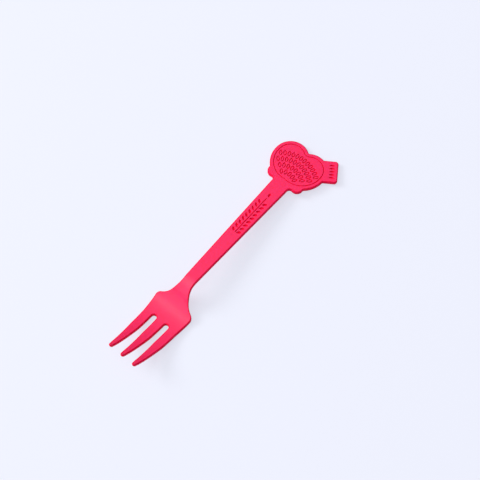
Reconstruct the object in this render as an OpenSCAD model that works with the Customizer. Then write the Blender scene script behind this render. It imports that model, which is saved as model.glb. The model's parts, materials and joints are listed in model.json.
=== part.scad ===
// Three-tined dessert fork with a heart-shaped end plate, moulded in one shot of plastic.
// Tips at the low end of X, the end plate at the high end, hollow of the tines upwards.
// Each node is one named section of the moulding, and the sections meet on plane faces.

/* [Tines] */
// Depth of the slots between the tines, from the tips to the round slot end
slot_depth = 26.3; // [22:0.1:30]
// Width of each slot beside the tine roots
slot_w = 2.7; // [2:0.1:3.2]
// Width of a tine at its root
tine_root_w = 4.85; // [4:0.05:5.4]
// Width of a tine where its taper begins
tine_taper_w = 4.5; // [3.6:0.05:4.8]
// Distance from the tips to where the taper begins
tine_taper_x = 16; // [12:0.5:20]
// Width of a tine just behind its rounded tip
tine_point_w = 2.35; // [1.9:0.05:2.8]
// Distance from the tips to that point width
tine_point_x = 2.5; // [1.5:0.1:4]
// Width across the rounded tip
tine_tip_w = 1.9; // [1.4:0.05:2.2]
// Distance of an outer tine's tip from the middle tine's tip
tip_spread = 7.1; // [6:0.1:7.5]

/* [Head side profile] */
// Radius of the hollow on the upper side of tines and palm
hollow_r = 50.4; // [46:0.2:60]
// Distance from the tips to the lowest place of the hollow
low_x = 28; // [27:0.5:30]
// Depth of the hollow's lowest place under the top of the stem
palm_drop = 11; // [8:0.5:12]
// Thickness of the palm
palm_t = 2.4; // [1.8:0.1:3]
// Thickness of a tine at its tip
tip_t = 1.7; // [1:0.1:1.9]
// Steepest slope of the neck, in degrees
neck_slope = 58; // [54:1:66]
// Radius of the bend from the palm up into the neck
heel_r = 10.5; // [6:0.5:12]
// Radius of the bend from the neck into the stem
crest_r = 10; // [9:0.5:12]

/* [Palm outline] */
// Width of the palm across its shoulders
palm_w = 21.7; // [21:0.1:23]
// Distance from the tips to the centres of the shoulder rounds
shoulder_x = 34.1; // [32:0.1:35]
// Radius of the shoulder rounds
shoulder_r = 2.6; // [2:0.1:3]
// Radius of the sweep from the shoulders into the stem
sweep_r = 10.5; // [9.5:0.1:12]

/* [Stem] */
// Width of the stem at the neck
stem_neck_w = 6.2; // [5.5:0.1:7]
// Width of the stem at the end plate
stem_end_w = 9.4; // [8:0.1:10]
// Distance from the tips to the end of the stem
stem_end_x = 112.5; // [105:0.5:125]
// Thickness of the stem and the end plate
stem_t = 2.2; // [1.8:0.1:2.6]

/* [End plate] */
// Radius of the two lobes of the heart
lobe_r = 9; // [8.5:0.1:9.5]
// Distance of a lobe's centre from the middle line
lobe_y = 5.75; // [5.2:0.05:6.2]
// Distance of the lobes' centres past the end of the stem
lobe_reach = 15.8; // [15.2:0.1:17]
// Radius of the heart's flanks
flank_r = 13.05; // [12.5:0.05:13.5]
// Lean of the line on which a flank runs into its lobe, in degrees
flank_lean = 9; // [6:1:12]
// Radius of the two ears beside the stem
ear_r = 3.2; // [2.8:0.1:3.5]
// Distance of an ear's centre from the middle line
ear_y = 7.2; // [6.8:0.1:7.5]
// Distance of the ears' centres past the end of the stem
ear_reach = 4.6; // [4.5:0.1:5]
// Radius of the fillet between stem and ear
ear_fillet_r = 1.5; // [1.2:0.1:1.8]
// Width of the side tab
tab_w = 11.9; // [10:0.1:12.5]
// Reach of the side tab from the centre of its lobe
tab_reach = 14.1; // [12:0.1:16]
// Turn of the side tab from the crosswise direction, in degrees
tab_turn = 34; // [28:1:40]
// Radius of the tab's corners
tab_corner_r = 1.6; // [1:0.1:2.5]

/* [Sunk ornament] */
// Depth of the ornament
sunk_depth = 0.5; // [0.3:0.05:0.7]
// Width of the sunk lines
line_w = 0.62; // [0.4:0.02:0.64]
// Distance of the border line from the edge
border_inset = 1.6; // [1.4:0.1:2.2]
// Length of a leaf on the end plate
leaf_l = 3.4; // [2.8:0.1:3.5]
// Width of a leaf on the end plate
leaf_w = 1.95; // [1.6:0.05:2]
// Distance from one row of leaves to the next
row_pitch = 3.5; // [3.5:0.1:4]
// Distance from one leaf to the next in a row
leaf_pitch = 2.15; // [2.1:0.05:3]
// Distance of the first row from the end of the stem
first_row = 7.7; // [7:0.1:9]
// Least distance between the leaves and the border line
leaf_gap = 0.2; // [0.2:0.05:0.6]
// Length of the branch along the stem
branch_l = 27; // [18:1:30]
// Distance of the branch's end from the end of the stem
branch_gap = 6.3; // [5:0.1:10]
// Distance from one pair of branch leaves to the next
pair_pitch = 2.4; // [2.2:0.1:4]
// Length of a leaf on the branch
sprig_l = 2.8; // [2:0.1:2.9]
// Width of a leaf on the branch
sprig_w = 1.35; // [0.8:0.05:1.4]
// Angle of the branch leaves to the branch, in degrees
sprig_angle = 48; // [40:1:60]
// Distance of the tab's leaves from the centre of its lobe
tab_leaf_reach = 11.2; // [11:0.1:11.6]
// Length of a leaf on the tab
tab_leaf_l = 3.2; // [2.4:0.1:3.4]
// Width of a leaf on the tab
tab_leaf_w = 1.1; // [0.7:0.05:1.2]
// Distance from one leaf to the next on the tab
tab_leaf_pitch = 1.7; // [1.5:0.1:2.2]

/* [Hidden] */
$fn = 180;
overrun = 1;
on_line = 0.001;
arc_step = 4;
hollow_step = 0.5;
leaf_steps = 6;

// Side view: the upper and lower arcs under tines and palm, both lowest at the same place
hollow_c = [low_x, hollow_r - palm_drop];
tip_top_z = hollow_c[1] - sqrt(pow(hollow_r, 2) - pow(low_x, 2));
tip_low_z = tip_top_z - tip_t * hollow_r / (hollow_c[1] - tip_top_z);
tip_rise = tip_low_z + palm_drop + palm_t;
back_r = (pow(low_x, 2) + pow(tip_rise, 2)) / (2 * tip_rise);
back_c = [low_x, back_r - palm_drop - palm_t];

// Plan of the head
slot_y = (tine_root_w + slot_w) / 2;
root_x = slot_depth - slot_w / 2;
root_spread = tine_root_w + slot_w;
palm_root_w = 2 * root_spread + tine_root_w;
shoulder_c = [shoulder_x, palm_w / 2 - shoulder_r];
sweep_y = stem_neck_w / 2 + sweep_r;
sweep_c = [shoulder_x + sqrt(pow(sweep_r + shoulder_r, 2) - pow(sweep_y - shoulder_c[1], 2)), sweep_y];

// The bend from neck to stem ends a little behind the sweep
crest_lag = 2.7;
crest_c = [sweep_c[0] + crest_lag, -crest_r];

// End plate
lobe_c = [stem_end_x + lobe_reach, lobe_y];
ear_c = [stem_end_x + ear_reach, ear_y];
flank_c = lobe_c - (flank_r - lobe_r) * [sin(flank_lean), cos(flank_lean)];
tab_c = [lobe_c[0], -lobe_y];
tab_along = [sin(tab_turn), -cos(tab_turn)];
tab_across = [cos(tab_turn), sin(tab_turn)];

// Rest on the table, on the back of the palm and the far lower corner of the tab
corner_reach = tab_reach - tab_corner_r;
corner_side = tab_w / 2 - tab_corner_r;
tab_far_x = tab_c[0] + corner_reach * sin(tab_turn) + corner_side * cos(tab_turn) + tab_corner_r;
tab_low_y = tab_c[1] - corner_reach * cos(tab_turn) - corner_side * sin(tab_turn) - tab_corner_r;
rest_gap = [tab_far_x, -stem_t] - back_c;
rest_angle = atan2(rest_gap[1], rest_gap[0]) + asin(back_r / norm(rest_gap));
table_z = back_c[1] * cos(rest_angle) - back_c[0] * sin(rest_angle) - back_r;
near_x = tip_low_z * sin(rest_angle);
far_x = tab_far_x * cos(rest_angle);
middle_y = (tab_low_y + lobe_y + lobe_r) / 2;

plastic = [0.976, 0.235, 0.4];

// Points along an arc, no more than step degrees apart
function arc(centre, r, from, to, step = arc_step) =
    let (n = ceil(abs(to - from) / step))
    [for (i = [0:n]) let (a = from + (to - from) * i / n) centre + r * [cos(a), sin(a)]];

function reversed(points) = [for (i = [len(points) - 1:-1:0]) points[i]];
// The same points across the middle line, without those that lie on it
function mirrored(points) = [for (p = reversed(points)) if (p[1] > on_line) [p[0], -p[1]]];

// Side view of palm and neck along one face: hollow arc, bend, straight slope and crest.
// The bend is no larger than the height of the neck leaves room for.
function head_line(arc_c, arc_r, wanted_r, crest) =
    let (
        up = [cos(neck_slope), sin(neck_slope)],
        out = [-sin(neck_slope), cos(neck_slope)],
        room = crest_c + crest * out - arc_c,
        bend_r = min(wanted_r, (pow(arc_r, 2) - room * room) / (2 * (arc_r + room * out))),
        base = crest_c + (crest + bend_r) * out,
        b = (base - arc_c) * up,
        bend_c = base + (-b - sqrt(b * b - pow(norm(base - arc_c), 2) + pow(arc_r - bend_r, 2))) * up,
        to_bend = bend_c - arc_c,
        turn = atan2(to_bend[1], to_bend[0])
    )
    concat(
        arc(arc_c, arc_r, -acos((root_x - overrun - arc_c[0]) / arc_r), turn, hollow_step),
        arc(bend_c, bend_r, turn, neck_slope - 90),
        arc(crest_c, crest, 90 + neck_slope, 90));

// Half of the heart's outline, drawn smaller by inset, from its foot or an ear to the notch
function heart_half(inset, from) =
    concat(
        arc(flank_c, flank_r - inset, from, 90 - flank_lean),
        arc(lobe_c, lobe_r - inset, 90 - flank_lean, -asin(lobe_y / (lobe_r - inset))));

function heart_outline(inset) =
    let (half = heart_half(inset, 180 + asin(flank_c[1] / (flank_r - inset))))
    concat(half, mirrored(half));

// Half of the plate's outline: fillet, ear, flank and lobe
function plate_half() =
    let (
        fillet_y = stem_end_w / 2 + ear_fillet_r,
        fillet_x = ear_c[0] - sqrt(pow(ear_r + ear_fillet_r, 2) - pow(ear_y - fillet_y, 2)),
        fillet_c = [fillet_x, fillet_y],
        to_ear = ear_c - fillet_c,
        gap = ear_c - flank_c,
        between = acos((pow(flank_r, 2) + gap * gap - pow(ear_r, 2)) / (2 * flank_r * norm(gap))),
        meet_angle = atan2(gap[1], gap[0]) - between,
        meet = flank_c + flank_r * [cos(meet_angle), sin(meet_angle)] - ear_c,
        ear_start = atan2(to_ear[1], to_ear[0]) + 180
    )
    concat(
        [[stem_end_x, stem_end_w / 2]],
        arc(fillet_c, ear_fillet_r, -90, ear_start - 180),
        arc(ear_c, ear_r, ear_start, atan2(meet[1], meet[0])),
        heart_half(0, meet_angle));

// Between the plate's own directions and those of the tab, which starts at its lobe's centre
function to_tab(p) = [(p - tab_c) * tab_along, (p - tab_c) * tab_across];
function from_tab(q) = tab_c + q[0] * tab_along + q[1] * tab_across;

// The tab's outline from the lobe round its two corners to the flank
function tab_points() =
    let (
        side = tab_w / 2,
        far_flank = to_tab([flank_c[0], -flank_c[1]]),
        flank_reach = far_flank[0] + sqrt(pow(flank_r, 2) - pow(side + far_flank[1], 2))
    )
    concat(
        [[sqrt(pow(lobe_r, 2) - pow(side, 2)), side]],
        arc([corner_reach, corner_side], tab_corner_r, 90, 0),
        arc([corner_reach, -corner_side], tab_corner_r, 0, -90),
        [[flank_reach, -side]]);

function plate_outline() =
    let (half = plate_half(), other = mirrored(half))
    concat(
        half,
        [for (p = other) if (to_tab(p)[1] > tab_w / 2) p],
        [for (q = tab_points()) from_tab(q)],
        [for (p = other) if (to_tab(p)[1] < -tab_w / 2) p]);

// Turns the level moulding to its rest on the table, with its middle over the origin
module at_rest() {
    translate([-(near_x + far_x) / 2, -middle_y, -table_z]) rotate([0, rest_angle, 0]) children();
}

module crosswise(centre, r) {
    translate([centre[0], 0, centre[1]]) rotate([90, 0, 0])
        cylinder(h = palm_w + 2 * overrun, r = r, center = true);
}

// Cuts a tine, whose outline is the child, between the hollow and the back
module curved_plate() {
    difference() {
        intersection() {
            translate([0, 0, -palm_drop - palm_t - overrun])
                linear_extrude(palm_drop + palm_t + 2 * overrun) children();
            crosswise(back_c, back_r);
        }
        crosswise(hollow_c, hollow_r);
    }
}

// Cuts palm or neck, whose outline is the child, to its side view
module bent_plate() {
    upper = head_line(hollow_c, hollow_r, heel_r, crest_r);
    lower = head_line(back_c, back_r, heel_r + stem_t, crest_r - stem_t);
    intersection() {
        translate([0, 0, -palm_drop - palm_t - overrun])
            linear_extrude(palm_drop + palm_t + 2 * overrun) children();
        rotate([90, 0, 0]) translate([0, 0, -palm_w / 2 - overrun])
            linear_extrude(palm_w + 2 * overrun) polygon(concat(upper, reversed(lower)));
    }
}

// One tine, whose middle line runs from tip_y at the tip to root_y at the root
module tine(tip_y, root_y) {
    tip_r = tine_tip_w / 2;
    edge = concat(arc([tip_r, 0], tip_r, 180, 90), [[tine_point_x, tine_point_w / 2],
        [tine_taper_x, tine_taper_w / 2], [root_x, tine_root_w / 2]]);
    outline = concat(edge, mirrored(edge));
    curved_plate()
        polygon([for (p = outline) [p[0], p[1] + tip_y + (root_y - tip_y) * p[0] / root_x]]);
}

module palm() {
    color(plastic) at_rest() bent_plate() difference() {
        polygon([[root_x, -palm_root_w / 2], [shoulder_x, -palm_w / 2],
            [shoulder_x, palm_w / 2], [root_x, palm_root_w / 2]]);
        for (side = [-1, 1]) translate([root_x, side * slot_y]) circle(slot_w / 2);
    }
}

module neck() {
    to_sweep = sweep_c - shoulder_c;
    turn = atan2(to_sweep[1], to_sweep[0]);
    half = concat(
        arc(shoulder_c, shoulder_r, 90, turn),
        arc(sweep_c, sweep_r, turn + 180, 270),
        [[crest_c[0], stem_neck_w / 2]]);
    color(plastic) at_rest() bent_plate() polygon(concat(half, mirrored(half)));
}

// One sunk leaf, pointed at both ends, lying along X, or the land within its line, inset from it
module leaf(l, w, inset = 0) {
    r = (pow(l, 2) + pow(w, 2)) / (4 * w);
    turn = acos((r - w / 2) / (r - inset));
    half = arc([0, w / 2 - r], r - inset, 90 + turn, 90 - turn, turn * 2 / leaf_steps);
    polygon(concat(half, mirrored(half)));
}

// Cuts the ornament, whose outline is the child, into the upper face of stem or plate
module sink() {
    translate([0, 0, -sunk_depth]) linear_extrude(sunk_depth + overrun) children();
}

// A straight branch with paired leaves along the middle of the stem
module branch() {
    start = stem_end_x - branch_gap - branch_l;
    pairs = floor((branch_l - 2 * sprig_l) / pair_pitch);
    vein_l = branch_l - sprig_l - line_w;
    sink() translate([start, -line_w / 2]) square([vein_l, line_w]);
    for (i = [0:pairs], side = [-1, 1])
        sink() translate([start + i * pair_pitch, side * line_w]) rotate(side * sprig_angle)
            translate([sprig_l / 2, 0]) leaf(sprig_l, sprig_w);
    sink() translate([start + branch_l - sprig_l / 2, 0]) leaf(sprig_l, sprig_w);
}

module stem() {
    half = [[crest_c[0], stem_neck_w / 2], [stem_end_x, stem_end_w / 2]];
    color(plastic) at_rest() difference() {
        translate([0, 0, -stem_t]) linear_extrude(stem_t) polygon(concat(half, mirrored(half)));
        branch();
    }
}

function in_heart(p, inset) = let (q = [p[0], abs(p[1])])
    norm(q - lobe_c) < lobe_r - inset || norm(q - flank_c) < flank_r - inset
        && (q - flank_c) * [cos(flank_lean), -sin(flank_lean)] < 0;

// Whether a leaf's two points and two sides all lie within the border
function leaf_fits(place, angle) =
    let (
        along = leaf_l / 2 * [cos(angle), sin(angle)],
        across = leaf_w / 2 * [-sin(angle), cos(angle)],
        inset = border_inset + line_w + leaf_gap
    )
    min([for (way = [along, -along, across, -across]) in_heart(place + way, inset) ? 1 : 0]) == 1;

// Rows of leaves, drawn as lines, that fan out from the end of the stem inside the heart's border
module leaf_fan() {
    rows = floor((lobe_reach + lobe_r - first_row) / row_pitch);
    for (row = [0:rows]) {
        radius = first_row + row * row_pitch;
        step = leaf_pitch / radius * 180 / PI;
        count = floor(90 / step);
        for (i = [-count:count]) {
            angle = (i + (row % 2) / 2) * step;
            place = [stem_end_x, 0] + radius * [cos(angle), sin(angle)];
            if (leaf_fits(place, angle)) sink() translate(place) rotate(angle) difference() {
                leaf(leaf_l, leaf_w);
                leaf(leaf_l, leaf_w, line_w);
            }
        }
    }
}

// A row of leaves side by side on the side tab, pointing outwards
module tab_leaves() {
    beside = floor((tab_w / 2 - tab_corner_r - tab_leaf_w / 2) / tab_leaf_pitch);
    for (i = [-beside:beside])
        sink() translate(from_tab([tab_leaf_reach, i * tab_leaf_pitch])) rotate(tab_turn - 90)
            leaf(tab_leaf_l, tab_leaf_w);
}

module end_plate() {
    color(plastic) at_rest() difference() {
        translate([0, 0, -stem_t]) linear_extrude(stem_t) polygon(plate_outline());
        sink() difference() {
            polygon(heart_outline(border_inset));
            polygon(heart_outline(border_inset + line_w));
        }
        leaf_fan();
        tab_leaves();
    }
}

module tine_left() {
    color(plastic) at_rest() tine(tip_spread, root_spread);
}

module tine_middle() {
    color(plastic) at_rest() tine(0, 0);
}

module tine_right() {
    color(plastic) at_rest() tine(-tip_spread, -root_spread);
}

tine_left();
tine_middle();
tine_right();
palm();
neck();
stem();
end_plate();
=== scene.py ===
"""Dessert fork of coral-red plastic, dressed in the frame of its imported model."""
import json
import math

import bmesh
import bpy
from mathutils import Matrix, Vector


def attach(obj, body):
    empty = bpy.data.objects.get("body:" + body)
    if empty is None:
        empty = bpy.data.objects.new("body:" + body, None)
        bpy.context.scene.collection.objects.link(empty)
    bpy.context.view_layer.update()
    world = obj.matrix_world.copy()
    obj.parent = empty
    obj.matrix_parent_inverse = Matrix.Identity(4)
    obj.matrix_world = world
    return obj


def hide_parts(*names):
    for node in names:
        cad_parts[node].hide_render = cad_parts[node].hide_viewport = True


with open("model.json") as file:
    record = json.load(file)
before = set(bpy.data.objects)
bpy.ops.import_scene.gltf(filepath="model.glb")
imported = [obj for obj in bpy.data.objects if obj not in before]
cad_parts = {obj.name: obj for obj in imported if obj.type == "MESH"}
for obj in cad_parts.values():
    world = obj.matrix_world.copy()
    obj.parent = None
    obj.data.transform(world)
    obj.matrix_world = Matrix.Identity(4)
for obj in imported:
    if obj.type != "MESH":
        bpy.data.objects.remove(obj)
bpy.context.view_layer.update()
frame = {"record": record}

# The outline of the fork, seen from above with its stem level. The real fork is one shot of plastic,
# so this is one closed line, scribed along one side of the middle and then along the other.
# Lengths are millimetres, X runs from the tips to the end plate, and Y is 0 on the middle line.
slot_depth = 26.3
slot_w = 2.7
tine_root_w = 4.85
tine_taper_w = 4.5
tine_taper_x = 16
tine_point_w = 2.35
tine_point_x = 2.5
tine_tip_r = 0.95
tip_spread = 7.1
palm_w = 21.7
shoulder_x = 34.1
shoulder_r = 2.6
sweep_r = 10.5
stem_neck_w = 6.2
stem_end_w = 9.4
stem_end_x = 112.5
lobe_r = 9
lobe_y = 5.75
lobe_reach = 15.8
flank_r = 13.05
flank_lean = math.radians(9)
ear_r = 3.2
ear_y = 7.2
ear_reach = 4.6
ear_fillet_r = 1.5
inner_fillet_r = 0.8
tab_w = 11.9
tab_reach = 14.1
tab_turn = math.radians(34)
tab_corner_r = 1.6
arc_step = math.radians(3)
weld = 0.01

slot_y = (tine_root_w + slot_w) / 2
root_x = slot_depth - slot_w / 2
root_spread = tine_root_w + slot_w
taper = [(tine_point_x, tine_point_w), (tine_taper_x, tine_taper_w), (root_x, tine_root_w)]
shoulder = Vector((shoulder_x, palm_w / 2 - shoulder_r))
sweep_y = stem_neck_w / 2 + sweep_r
sweep_x = shoulder_x + math.sqrt((sweep_r + shoulder_r) ** 2 - (sweep_y - shoulder.y) ** 2)
sweep = Vector((sweep_x, sweep_y))
lobe = Vector((stem_end_x + lobe_reach, lobe_y))
ear = Vector((stem_end_x + ear_reach, ear_y))
flank = lobe - (flank_r - lobe_r) * Vector((math.sin(flank_lean), math.cos(flank_lean)))
notch = Vector((lobe.x + math.sqrt((lobe_r + inner_fillet_r) ** 2 - lobe_y ** 2), 0))


def crossing(first, first_r, second, second_r):
    """Where two circles cross, on the left of the way from the first centre to the second."""
    gap = second - first
    along = (first_r ** 2 - second_r ** 2 + gap.length_squared) / (2 * gap.length)
    across = math.sqrt(first_r ** 2 - along ** 2)
    way = gap.normalized()
    return first + along * way + across * Vector((-way.y, way.x))


class Scriber:
    """Scribes lines and arcs end to end, as edges of a mesh."""

    def __init__(self, mesh, x, y):
        self.mesh = mesh
        self.vert = mesh.verts.new((x, y, 0))

    def line(self, point):
        self.vert = bmesh.ops.extrude_vert_indiv(self.mesh, verts=[self.vert])["verts"][0]
        self.vert.co = (*point, 0)

    def arc(self, centre, towards, hollow=False, steps=None):
        """Swings round centre until it faces towards: clockwise, or the other way if hollow."""
        centre = Vector(centre)
        start = self.vert.co.xy - centre
        end = Vector(towards) - centre
        turn = (math.atan2(end.y, end.x) - math.atan2(start.y, start.x)) % math.tau
        if not hollow:
            turn -= math.tau
        swung = bmesh.ops.spin(self.mesh, geom=[self.vert], cent=(*centre, 0), axis=(0, 0, 1),
                               angle=turn, steps=steps or math.ceil(abs(turn) / arc_step))
        self.vert = swung["geom_last"][0]


def scribe_tines_and_neck(pen):
    """From the middle tip round one slot and one outer tine, and past the shoulder to the stem."""
    def outer_y(x):
        return tip_spread + (root_spread - tip_spread) * x / root_x

    tip_y = outer_y(tine_tip_r)
    pen.arc((tine_tip_r, 0), (tine_tip_r, 1))
    for x, width in taper:
        pen.line((x, width / 2))
    pen.arc((root_x, slot_y), (root_x, slot_y + 1), hollow=True)
    for x, width in reversed(taper[:-1]):
        pen.line((x, outer_y(x) - width / 2))
    pen.line((tine_tip_r, tip_y - tine_tip_r))
    pen.arc((tine_tip_r, tip_y), (tine_tip_r, tip_y + 1))
    for x, width in taper:
        pen.line((x, outer_y(x) + width / 2))
    pen.line((shoulder_x, palm_w / 2))
    pen.arc(shoulder, sweep)
    pen.arc(sweep, (sweep.x, 0), hollow=True)


def scribe_tab(pen):
    """From the flank out along the tab, round its two corners and back to the lobe."""
    along = Vector((math.sin(tab_turn), math.cos(tab_turn)))
    across = Vector((math.cos(tab_turn), -math.sin(tab_turn)))
    side = tab_w / 2
    fillet_side = side + inner_fillet_r
    flank_gap = flank - lobe
    near_reach = flank_gap @ along + math.sqrt(
        (flank_r + inner_fillet_r) ** 2 - (fillet_side + flank_gap @ across) ** 2)
    far_reach = math.sqrt((lobe_r + inner_fillet_r) ** 2 - fillet_side ** 2)
    near_fillet = lobe + near_reach * along - fillet_side * across
    far_fillet = lobe + far_reach * along + fillet_side * across
    corner = lobe + (tab_reach - tab_corner_r) * along
    near_corner = corner - (side - tab_corner_r) * across
    far_corner = corner + (side - tab_corner_r) * across
    pen.arc(flank, near_fillet)
    pen.arc(near_fillet, near_fillet + across, hollow=True)
    pen.line(near_corner - tab_corner_r * across)
    pen.arc(near_corner, near_corner + along)
    pen.line(far_corner + tab_corner_r * along)
    pen.arc(far_corner, far_corner + across)
    pen.line(far_fillet - inner_fillet_r * across)
    pen.arc(far_fillet, lobe, hollow=True)


def scribe_plate(pen, tabbed):
    """From the stem round the ear and up one side of the heart to its notch."""
    fillet_y = stem_end_w / 2 + ear_fillet_r
    fillet = Vector((ear.x - math.sqrt((ear_r + ear_fillet_r) ** 2 - (ear_y - fillet_y) ** 2), fillet_y))
    hollow = crossing(ear, ear_r + inner_fillet_r, flank, flank_r + inner_fillet_r)
    pen.line((fillet.x, stem_end_w / 2))
    pen.arc(fillet, ear, hollow=True)
    pen.arc(ear, hollow)
    pen.arc(hollow, flank, hollow=True)
    if tabbed:
        scribe_tab(pen)
    else:
        pen.arc(flank, lobe)
    pen.arc(lobe, notch)
    pen.arc(notch, (0, 0), hollow=True)


moulding = bmesh.new()
for tabbed in (True, False):
    bmesh.ops.scale(moulding, vec=(1, -1, 1), verts=moulding.verts)
    pen = Scriber(moulding, 0, 0)
    scribe_tines_and_neck(pen)
    scribe_plate(pen, tabbed)
bmesh.ops.remove_doubles(moulding, verts=moulding.verts, dist=weld)
bmesh.ops.edgeloop_fill(moulding, edges=moulding.edges)

# The blank has the outline's plan and the thickness of the stem, with the small round rim that a
# mould leaves along both faces. It is cut across at many places, so that the head can be curved.
stem_t = 2.2
rim_r = 0.5
rim_segments = 3
crest_r = 10
crest_lag = 2.7
crest = Vector((sweep.x + crest_lag, -crest_r))
head_pitch = 1
neck_pitch = 0.3
rib_pitch = 1.2
low_x = 28
level_limit = 0.9999
sharp_angle = math.radians(80)
cut_weld = 0.001
wall_shade_slot = 2

drawn = bmesh.ops.extrude_face_region(moulding, geom=moulding.faces[:])
lower_face = [part for part in drawn["geom"] if isinstance(part, bmesh.types.BMVert)]
bmesh.ops.translate(moulding, vec=(0, 0, -stem_t), verts=lower_face)
bmesh.ops.recalc_face_normals(moulding, faces=moulding.faces)
# The walls, all faces that are not level, take the darker red that is painted shade.
for face in moulding.faces:
    if abs(face.normal.z) < level_limit:
        face.material_index = wall_shade_slot
rim = [edge for edge in moulding.edges if edge.calc_face_angle() > sharp_angle]
# The rims take the walls' darker red too, as painted shade along the edges.
bmesh.ops.bevel(moulding, geom=rim, offset=rim_r, offset_type="OFFSET", segments=rim_segments,
                profile=0.5, affect="EDGES", material=wall_shade_slot)


def corners(parts):
    """The vertices of some edges or faces, each once and in order."""
    return list(dict.fromkeys(vert for part in parts for vert in part.verts))


def cut(start, end, pitch, way, near=-math.inf, far=math.inf):
    """Cuts the faces between near and far by planes that stand across way."""
    count = math.ceil((end - start) / pitch)
    for step in range(1, count + 1):
        faces = [face for face in moulding.faces if near < face.calc_center_median().x < far]
        edges = list(dict.fromkeys(edge for face in faces for edge in face.edges))
        bmesh.ops.bisect_plane(moulding, geom=corners(faces) + edges + faces, dist=cut_weld,
                               plane_co=(start + (end - start) * step / count) * way, plane_no=way)


lengthwise = Vector((1, 0, 0))
sideways = Vector((0, 1, 0))
cut(0, shoulder_x, head_pitch, lengthwise)
cut(shoulder_x, crest.x, neck_pitch, lengthwise)
cut(-palm_w / 2, palm_w / 2, rib_pitch, sideways, low_x, crest.x)

# The sunk ornament in the upper face: a leafy branch on the stem, a border line and a fan of leaves
# in the heart, and a few leaves on the tab. The mould stands proud there and leaves grooves with
# a soft lip, slightly leaning walls and a rounded floor.
line_w = 0.62
border_inset = 1.6
leaf_l = 3.4
leaf_w = 1.95
row_pitch = 3.5
leaf_pitch = 2.15
first_row = 7.7
leaf_gap = 0.2
branch_l = 27
branch_gap = 6.3
pair_pitch = 2.4
sprig_l = 2.8
sprig_w = 1.35
sprig_angle = math.radians(48)
tab_leaf_reach = 11.2
tab_leaf_l = 3.2
tab_leaf_w = 1.1
tab_leaf_pitch = 1.7
leaf_steps = 8
# Each step of a groove: how far in, how far down, and the slot of its material.
groove_steps = [(0.05, 0.02, 0), (0.05, 0.05, 0), (0.04, 0.38, 1), (0.06, 0.07, 1)]
groove_shade_slot = 1
grooves = []


def new_parts(kind, before):
    """The parts of one kind that were made since before."""
    return [part for part in kind if part not in before]


def leaf_outline(place, turn, length, width, inset=0):
    """A closed outline pointed at both ends, or the smaller one that lies inset within it."""
    before = set(moulding.edges)
    radius = (length ** 2 + width ** 2) / (4 * width)
    depth = radius - width / 2
    reach = math.sqrt((radius - inset) ** 2 - depth ** 2)
    pen = Scriber(moulding, -reach, 0)
    base = pen.vert
    pen.arc((0, -depth), (reach, 0), steps=leaf_steps)
    pen.arc((0, depth), (-reach, 0), steps=leaf_steps)
    bmesh.ops.weld_verts(moulding, targetmap={pen.vert: base})
    edges = new_parts(moulding.edges, before)
    bmesh.ops.transform(moulding, verts=corners(edges),
                        matrix=Matrix.Translation((*place, 0)) @ Matrix.Rotation(turn, 4, "Z"))
    return edges


def sunk_leaf(place, turn, length, width):
    """A leaf that is one groove."""
    outline = leaf_outline(place, turn, length, width)
    grooves.extend(bmesh.ops.edgeloop_fill(moulding, edges=outline)["faces"])
    return outline


def lined_leaf(place, turn):
    """A leaf drawn as a groove round raised land."""
    outline = leaf_outline(place, turn, leaf_l, leaf_w)
    land = leaf_outline(place, turn, leaf_l, leaf_w, line_w)
    grooves.extend(bmesh.ops.bridge_loops(moulding, edges=outline + land)["faces"])
    bmesh.ops.edgeloop_fill(moulding, edges=land)
    return outline


def branch():
    """A straight vein with pairs of leaves, and one leaf at its end."""
    start = stem_end_x - branch_gap - branch_l
    vein_l = branch_l - sprig_l - line_w
    before = set(moulding.edges)
    bmesh.ops.create_grid(moulding, x_segments=1, y_segments=1, size=0.5,
                          matrix=Matrix.Translation((start + vein_l / 2, 0, 0)) @ Matrix.Diagonal(
                              (vein_l, line_w, 1, 1)))
    outlines = new_parts(moulding.edges, before)
    grooves.extend(outlines[0].link_faces)
    pairs = math.floor((branch_l - 2 * sprig_l) / pair_pitch)
    for pair in range(pairs + 1):
        for side in (-1, 1):
            turn = side * sprig_angle
            middle = Vector((start + pair * pair_pitch, side * line_w)) + sprig_l / 2 * Vector(
                (math.cos(turn), math.sin(turn)))
            outlines += sunk_leaf(middle, turn, sprig_l, sprig_w)
    outlines += sunk_leaf((start + branch_l - sprig_l / 2, 0), 0, sprig_l, sprig_w)
    return outlines


def heart_line(inset):
    """The heart's own outline, drawn smaller by inset."""
    before = set(moulding.edges)
    pen = Scriber(moulding, flank.x - math.sqrt((flank_r - inset) ** 2 - flank.y ** 2), 0)
    pen.arc(flank, lobe)
    pen.arc(lobe, notch)
    pen.arc(notch, (0, 0), hollow=True)
    half = new_parts(moulding.edges, before)
    bmesh.ops.mirror(moulding, geom=corners(half) + half, matrix=Matrix(), merge_dist=weld, axis="Y")
    return new_parts(moulding.edges, before)


def in_heart(place, inset):
    """Whether a place lies in the heart's outline drawn smaller by inset."""
    beside = Vector((place.x, abs(place.y)))
    in_lobe = (beside - lobe).length < lobe_r - inset
    lean = Vector((math.cos(flank_lean), -math.sin(flank_lean)))
    return in_lobe or ((beside - flank).length < flank_r - inset and (beside - flank) @ lean < 0)


def leaf_fits(place, turn):
    """Whether a leaf's two points and two sides all lie within the border."""
    along = leaf_l / 2 * Vector((math.cos(turn), math.sin(turn)))
    across = leaf_w / 2 * Vector((-math.sin(turn), math.cos(turn)))
    return all(in_heart(place + way, border_inset + line_w + leaf_gap)
               for way in (along, -along, across, -across))


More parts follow.
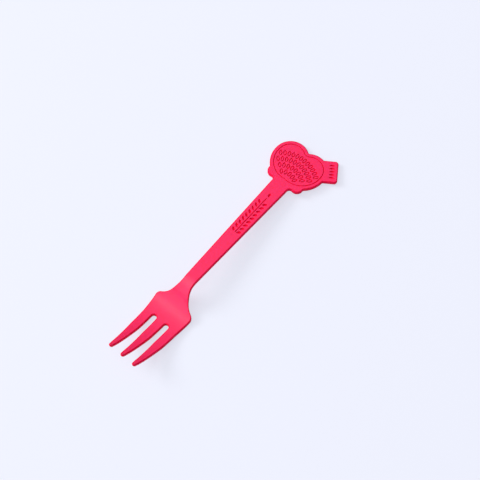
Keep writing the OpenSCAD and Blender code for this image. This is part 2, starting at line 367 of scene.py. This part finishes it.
def leaf_fan():
    """Rows of leaves that fan out from the end of the stem."""
    outlines = []
    for row in range(math.floor((lobe_reach + lobe_r - first_row) / row_pitch) + 1):
        radius = first_row + row * row_pitch
        step = leaf_pitch / radius
        count = math.floor(math.pi / 2 / step)
        for leaf in range(-count, count + 1):
            turn = (leaf + (row % 2) / 2) * step
            place = Vector((stem_end_x + radius * math.cos(turn), radius * math.sin(turn)))
            if leaf_fits(place, turn):
                outlines += lined_leaf(place, turn)
    return outlines


def tab_leaves():
    """A row of leaves side by side, pointing outwards."""
    along = Vector((math.sin(tab_turn), -math.cos(tab_turn)))
    across = Vector((math.cos(tab_turn), math.sin(tab_turn)))
    middle = Vector((lobe.x, -lobe_y)) + tab_leaf_reach * along
    beside = math.floor((tab_w / 2 - tab_corner_r - tab_leaf_w / 2) / tab_leaf_pitch)
    outlines = []
    for leaf in range(-beside, beside + 1):
        outlines += sunk_leaf(middle + leaf * tab_leaf_pitch * across, tab_turn - math.pi / 2,
                              tab_leaf_l, tab_leaf_w)
    return outlines


top = max((face for face in moulding.faces if face.normal.z > level_limit),
          key=lambda face: face.calc_area())
edge_of_top = top.edges[:]
moulding.faces.remove(top)
border_outer = heart_line(border_inset)
border_inner = heart_line(border_inset + line_w)
grooves.extend(bmesh.ops.bridge_loops(moulding, edges=border_outer + border_inner)["faces"])
bmesh.ops.triangle_fill(moulding, use_beauty=True, normal=(0, 0, 1),
                        edges=edge_of_top + border_outer + branch() + tab_leaves())
bmesh.ops.triangle_fill(moulding, use_beauty=True, normal=(0, 0, 1), edges=border_inner + leaf_fan())
bmesh.ops.recalc_face_normals(moulding, faces=moulding.faces)
# The grooves' lower steps and floors take the deeper red that is painted shade; the first two steps keep
# the plain plastic.
for face in grooves:
    face.material_index = groove_shade_slot
for thickness, depth, slot in groove_steps:
    ring = bmesh.ops.inset_region(moulding, faces=grooves, use_boundary=True, use_even_offset=True,
                                  thickness=thickness, depth=-depth)["faces"]
    for face in ring:
        face.material_index = slot

# The head is curved: the tines and the palm are hollow above, and the neck climbs steeply to the
# level stem. Both faces follow an arc, a bend, a straight slope and the crest at the stem.
hollow_r = 50.4
palm_drop = 11
palm_t = 2.4
tip_t = 1.7
neck_slope = math.radians(58)
heel_middle_r = 12
heel_side_r = 9
heel_curl = 1

hollow = Vector((low_x, hollow_r - palm_drop))
tip_top = hollow.y - math.sqrt(hollow_r ** 2 - low_x ** 2)
tip_low = tip_top - tip_t * hollow_r / (hollow.y - tip_top)
tip_rise = tip_low + palm_drop + palm_t
back_r = (low_x ** 2 + tip_rise ** 2) / (2 * tip_rise)
back = Vector((low_x, back_r - palm_drop - palm_t))


def face_line(arc, arc_radius, bend_radius, crest_radius):
    """Gives a function for the height of one face at any distance from the tips."""
    up = Vector((math.cos(neck_slope), math.sin(neck_slope)))
    out = Vector((-up.y, up.x))
    base = crest + (crest_radius + bend_radius) * out
    lift = (base - arc) @ up
    bend = base - up * (lift + math.sqrt(
        lift ** 2 - (base - arc).length_squared + (arc_radius - bend_radius) ** 2))
    arc_end = arc.x + arc_radius * (bend - arc).normalized().x
    bend_end = bend.x + bend_radius * up.y
    slope_end = crest + crest_radius * out

    def height(x):
        if x < arc_end:
            return arc.y - math.sqrt(arc_radius ** 2 - (x - arc.x) ** 2)
        if x < bend_end:
            return bend.y - math.sqrt(bend_radius ** 2 - (x - bend.x) ** 2)
        if x < slope_end.x:
            return slope_end.y + (x - slope_end.x) * math.tan(neck_slope)
        if x < crest.x:
            return crest.y + math.sqrt(crest_radius ** 2 - (x - crest.x) ** 2)
        return crest.y + crest_radius

    return height


moulding.normal_update()
level_faces = {face for face in moulding.faces if abs(face.normal.z) > level_limit}
for vert in moulding.verts:
    beside = min(1, (2 * vert.co.y / palm_w) ** 2)
    past_low = min(1, max(0, (vert.co.x - low_x) / (shoulder_x - low_x)))
    along = vert.co.x + heel_curl * beside * past_low
    heel = heel_middle_r + (heel_side_r - heel_middle_r) * beside
    top_z = face_line(hollow, hollow_r, heel, crest_r)(along)
    low_z = face_line(back, back_r, heel + stem_t, crest_r - stem_t)(along)
    vert.co.z = top_z - vert.co.z / stem_t * (low_z - top_z)

# The fork lies on the back of its palm and the far corner of its tab. The frame's mount on the
# underside of the plate says how it lies, so the level fork is turned and moved to that place.
MM = 0.001
seat = frame["record"]["mounts"][0]
lean = Matrix.Rotation(-math.asin(seat["axis"][0]), 4, "Y")
level_seat = MM * Vector((lobe.x, 0, -stem_t))
at_rest = Matrix.Translation(Vector(seat["pos_m"]) - lean @ level_seat) @ lean @ Matrix.Scale(MM, 4)
bmesh.ops.transform(moulding, matrix=at_rest, verts=moulding.verts)
moulding.normal_update()

# Where a rim or a groove meets an upper or lower face, the shading follows that face alone, so the
# wide faces look even up to their edges.
shading = []
for vert in moulding.verts:
    own = [face for face in vert.link_faces if face in level_faces] or vert.link_faces
    shading.append(sum((face.calc_area() * face.normal for face in own), Vector()).normalized())
fork_mesh = bpy.data.meshes.new("fork_moulding")
moulding.to_mesh(fork_mesh)
moulding.free()
fork_mesh.shade_smooth()
fork_mesh.normals_split_custom_set_from_vertices(shading)
fork = bpy.data.objects.new("fork_moulding", fork_mesh)
bpy.context.scene.collection.objects.link(fork)

# The plastic is coloured right through, with the satin face of a finely blasted mould: even colour,
# a faint unevenness in gloss, and a grain too fine to see from a step away. The walls and rims are
# duller and a darker red, which is painted shade, and the grooves a deeper red, painted shade in the
# hollows.
coral = (0.89, 0.011, 0.108, 1)
# Painted shade on the walls and rims: a darker red.
coral_painted_wall_shade = (0.74, 0.005, 0.055, 1)
# Painted shade in the grooves: a deeper red.
coral_painted_groove_shade = (0.86, 0.002, 0.045, 1)
cloud_scale = 90
cloud_detail = 4
cloud_tint = (0.97, 0.88, 0.9, 1)
grain_scale = 6000
grain_detail = 2
grain_strength = 0.12
grain_height = 0.00003
light_share = 0.35
light_reach = 0.0012
light_spread = (1, 0.12, 0.25)


def plastic(name, colour, specular, low_rough, high_rough):
    """The plastic in one colour, with its roughness between two values from cloud to cloud."""
    material = bpy.data.materials.new(name)
    material.use_nodes = True
    nodes, links = material.node_tree.nodes, material.node_tree.links
    shader = nodes["Principled BSDF"]
    place = nodes.new("ShaderNodeTexCoord")
    cloud = nodes.new("ShaderNodeTexNoise")
    cloud.inputs["Scale"].default_value = cloud_scale
    cloud.inputs["Detail"].default_value = cloud_detail
    grain = nodes.new("ShaderNodeTexNoise")
    grain.inputs["Scale"].default_value = grain_scale
    grain.inputs["Detail"].default_value = grain_detail
    rough = nodes.new("ShaderNodeMapRange")
    rough.inputs["To Min"].default_value = low_rough
    rough.inputs["To Max"].default_value = high_rough
    tint = nodes.new("ShaderNodeMix")
    tint.data_type = "RGBA"
    share, plain, clouded, mixed = tint.inputs[0], tint.inputs[6], tint.inputs[7], tint.outputs[2]
    plain.default_value = colour
    clouded.default_value = [own * fade for own, fade in zip(colour, cloud_tint)]
    bump = nodes.new("ShaderNodeBump")
    bump.inputs["Strength"].default_value = grain_strength
    bump.inputs["Distance"].default_value = grain_height
    for texture in (cloud, grain):
        links.new(place.outputs["Object"], texture.inputs["Vector"])
    links.new(cloud.outputs["Fac"], rough.inputs["Value"])
    links.new(cloud.outputs["Fac"], share)
    links.new(rough.outputs["Result"], shader.inputs["Roughness"])
    links.new(mixed, shader.inputs["Base Color"])
    links.new(grain.outputs["Fac"], bump.inputs["Height"])
    links.new(bump.outputs["Normal"], shader.inputs["Normal"])
    shader.inputs["Specular IOR Level"].default_value = specular
    shader.inputs["Subsurface Weight"].default_value = light_share
    shader.inputs["Subsurface Radius"].default_value = light_spread
    shader.inputs["Subsurface Scale"].default_value = light_reach
    return material


fork_mesh.materials.append(
    plastic("coral_plastic", coral, specular=0.46, low_rough=0.42, high_rough=0.5))
# Painted shade for the lower steps and floors of the grooves, with little gloss.
fork_mesh.materials.append(
    plastic("coral_plastic_painted_groove_shade", coral_painted_groove_shade, specular=0.05, low_rough=0.45, high_rough=0.55))
# Painted shade for the walls and rims, with little gloss.
fork_mesh.materials.append(
    plastic("coral_plastic_painted_wall_shade", coral_painted_wall_shade, specular=0.05, low_rough=0.5, high_rough=0.6))
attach(fork, "root")
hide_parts("tine_left", "tine_middle", "tine_right", "palm", "neck", "stem", "end_plate")

# The table is a wide sheet of smooth, faintly blue white board under the fork, and the room around
# it is as pale. To the camera the board glows by a share, so the shadow on it stays faint.
board_colour = (0.833, 0.853, 0.958, 1)
board_size = 3
board_roughness = 0.9
board_specular = 0.1
board_glow = 0.75
room_colour = (0.93, 0.95, 1, 1)
room_level = 0.385

board = bmesh.new()
bmesh.ops.create_grid(board, x_segments=1, y_segments=1, size=board_size / 2)
board_mesh = bpy.data.meshes.new("table_board")
board.to_mesh(board_mesh)
board.free()
white_board = bpy.data.materials.new("white_board")
white_board.use_nodes = True
board_nodes, board_links = white_board.node_tree.nodes, white_board.node_tree.links
paper = board_nodes["Principled BSDF"]
paper.inputs["Base Color"].default_value = board_colour
paper.inputs["Roughness"].default_value = board_roughness
paper.inputs["Specular IOR Level"].default_value = board_specular
glow = board_nodes.new("ShaderNodeEmission")
glow.inputs["Color"].default_value = board_colour
board_ray = board_nodes.new("ShaderNodeLightPath")
seen = board_nodes.new("ShaderNodeMath")
seen.operation = "MAXIMUM"
share = board_nodes.new("ShaderNodeMath")
share.operation = "MULTIPLY"
share.inputs[1].default_value = board_glow
lit = board_nodes.new("ShaderNodeMixShader")
board_links.new(board_ray.outputs["Is Camera Ray"], seen.inputs[0])
board_links.new(board_ray.outputs["Is Glossy Ray"], seen.inputs[1])
board_links.new(seen.outputs["Value"], share.inputs[0])
board_links.new(share.outputs["Value"], lit.inputs["Fac"])
board_links.new(paper.outputs["BSDF"], lit.inputs[1])
board_links.new(glow.outputs["Emission"], lit.inputs[2])
board_links.new(lit.outputs["Shader"], board_nodes["Material Output"].inputs["Surface"])
board_mesh.materials.append(white_board)
table = bpy.data.objects.new("table_board", board_mesh)
bpy.context.scene.collection.objects.link(table)

world = bpy.data.worlds.new("pale_room")
bpy.context.scene.world = world
world.use_nodes = True
room_nodes, room_links = world.node_tree.nodes, world.node_tree.links
room = room_nodes["Background"]
room.inputs["Color"].default_value = room_colour
room.inputs["Strength"].default_value = room_level
seen_room = room_nodes.new("ShaderNodeBackground")
seen_room.inputs["Color"].default_value = board_colour
room_ray = room_nodes.new("ShaderNodeLightPath")
either = room_nodes.new("ShaderNodeMixShader")
room_links.new(room_ray.outputs["Is Camera Ray"], either.inputs["Fac"])
room_links.new(room.outputs["Background"], either.inputs[1])
room_links.new(seen_room.outputs["Background"], either.inputs[2])
room_links.new(either.outputs["Shader"], room_nodes["World Output"].inputs["Surface"])

# Three round soft boxes: one low at the photograph's left, which is the fork's own left side,
# one overhead, and a weak one beyond the tips. Their directions are given beside the level fork.
box_distance = 2.5


def soft_box(name, direction, width, power):
    """A round lamp that faces the fork, with its width in metres and its power in watts."""
    lamp = bpy.data.lights.new(name, "AREA")
    lamp.shape = "DISK"
    lamp.size = width
    lamp.energy = power
    box = bpy.data.objects.new(name, lamp)
    aim = lean @ Vector(direction).normalized()
    facing = aim.to_track_quat("Z", "Y").to_matrix().to_4x4()
    box.matrix_world = Matrix.Translation(box_distance * aim) @ facing
    bpy.context.scene.collection.objects.link(box)


soft_box("side_soft_box", (-0.4, 0.92, 0.68), width=1.1, power=53)
soft_box("top_soft_box", (-0.25, 0.28, 0.92), width=2.2, power=22.5)
soft_box("front_soft_box", (-0.93, 0.28, 0.24), width=1.8, power=11)

# The camera looks down on the fork from the side of its tips and its right edge, as the photograph
# does. Its place is given beside the level fork, in millimetres, and moves to rest with it.
lens = 75
camera_azimuth = math.radians(-48.9)
camera_elevation = math.radians(64.5)
camera_roll = math.radians(-0.8)
camera_distance = 472.1
camera_target = Vector((77.47, -4.64, 0))

away = Vector((math.sin(camera_azimuth) * math.cos(camera_elevation),
               -math.cos(camera_azimuth) * math.cos(camera_elevation), math.sin(camera_elevation)))
camera_data = bpy.data.cameras.new("camera")
camera_data.lens = lens
camera = bpy.data.objects.new("camera", camera_data)
camera_place = at_rest @ (camera_target + camera_distance * away)
camera_aim = lean @ away.to_track_quat("Z", "Y").to_matrix().to_4x4()
camera.matrix_world = (Matrix.Translation(camera_place) @ camera_aim
                       @ Matrix.Rotation(camera_roll, 4, "Z"))
bpy.context.scene.collection.objects.link(camera)
bpy.context.scene.camera = camera
bpy.context.scene.view_settings.view_transform = "Standard"
